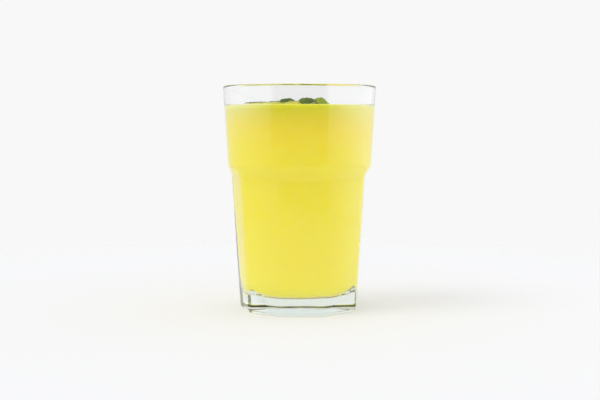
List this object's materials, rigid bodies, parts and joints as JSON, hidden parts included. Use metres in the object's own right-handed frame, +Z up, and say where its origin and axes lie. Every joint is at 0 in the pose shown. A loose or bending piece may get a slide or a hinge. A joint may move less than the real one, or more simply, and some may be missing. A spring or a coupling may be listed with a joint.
{
  "type": "glass of lemonade",
  "caption": "Tall glass tumbler with a smooth bell over a faceted body, filled with cloudy lemonade and topped with a citrus slice and mint leaves.",
  "frame": {"origin": "middle of the foot, on the surface the glass stands on", "axes": "+Z up along the glass's axis, -Y towards the front; the nine flats are turned 5 degrees clockwise, seen from above, from one facing +X"},
  "size_m": [0.0858, 0.0858, 0.1261],
  "materials": {
    "tumbler_glass": "clear, polished",
    "lemonade": "cloudy liquid, smooth",
    "citrus_slice": "wet",
    "mint": "leaf, soft sheen"
  },
  "bodies": {
    "root": {"tumbler": "tumbler_glass", "lemonade": "lemonade", "citrus_slice": "citrus_slice", "mint_leaf_left": "mint", "mint_leaf_middle": "mint", "mint_leaf_right": "mint"}
  },
  "joints": []
}
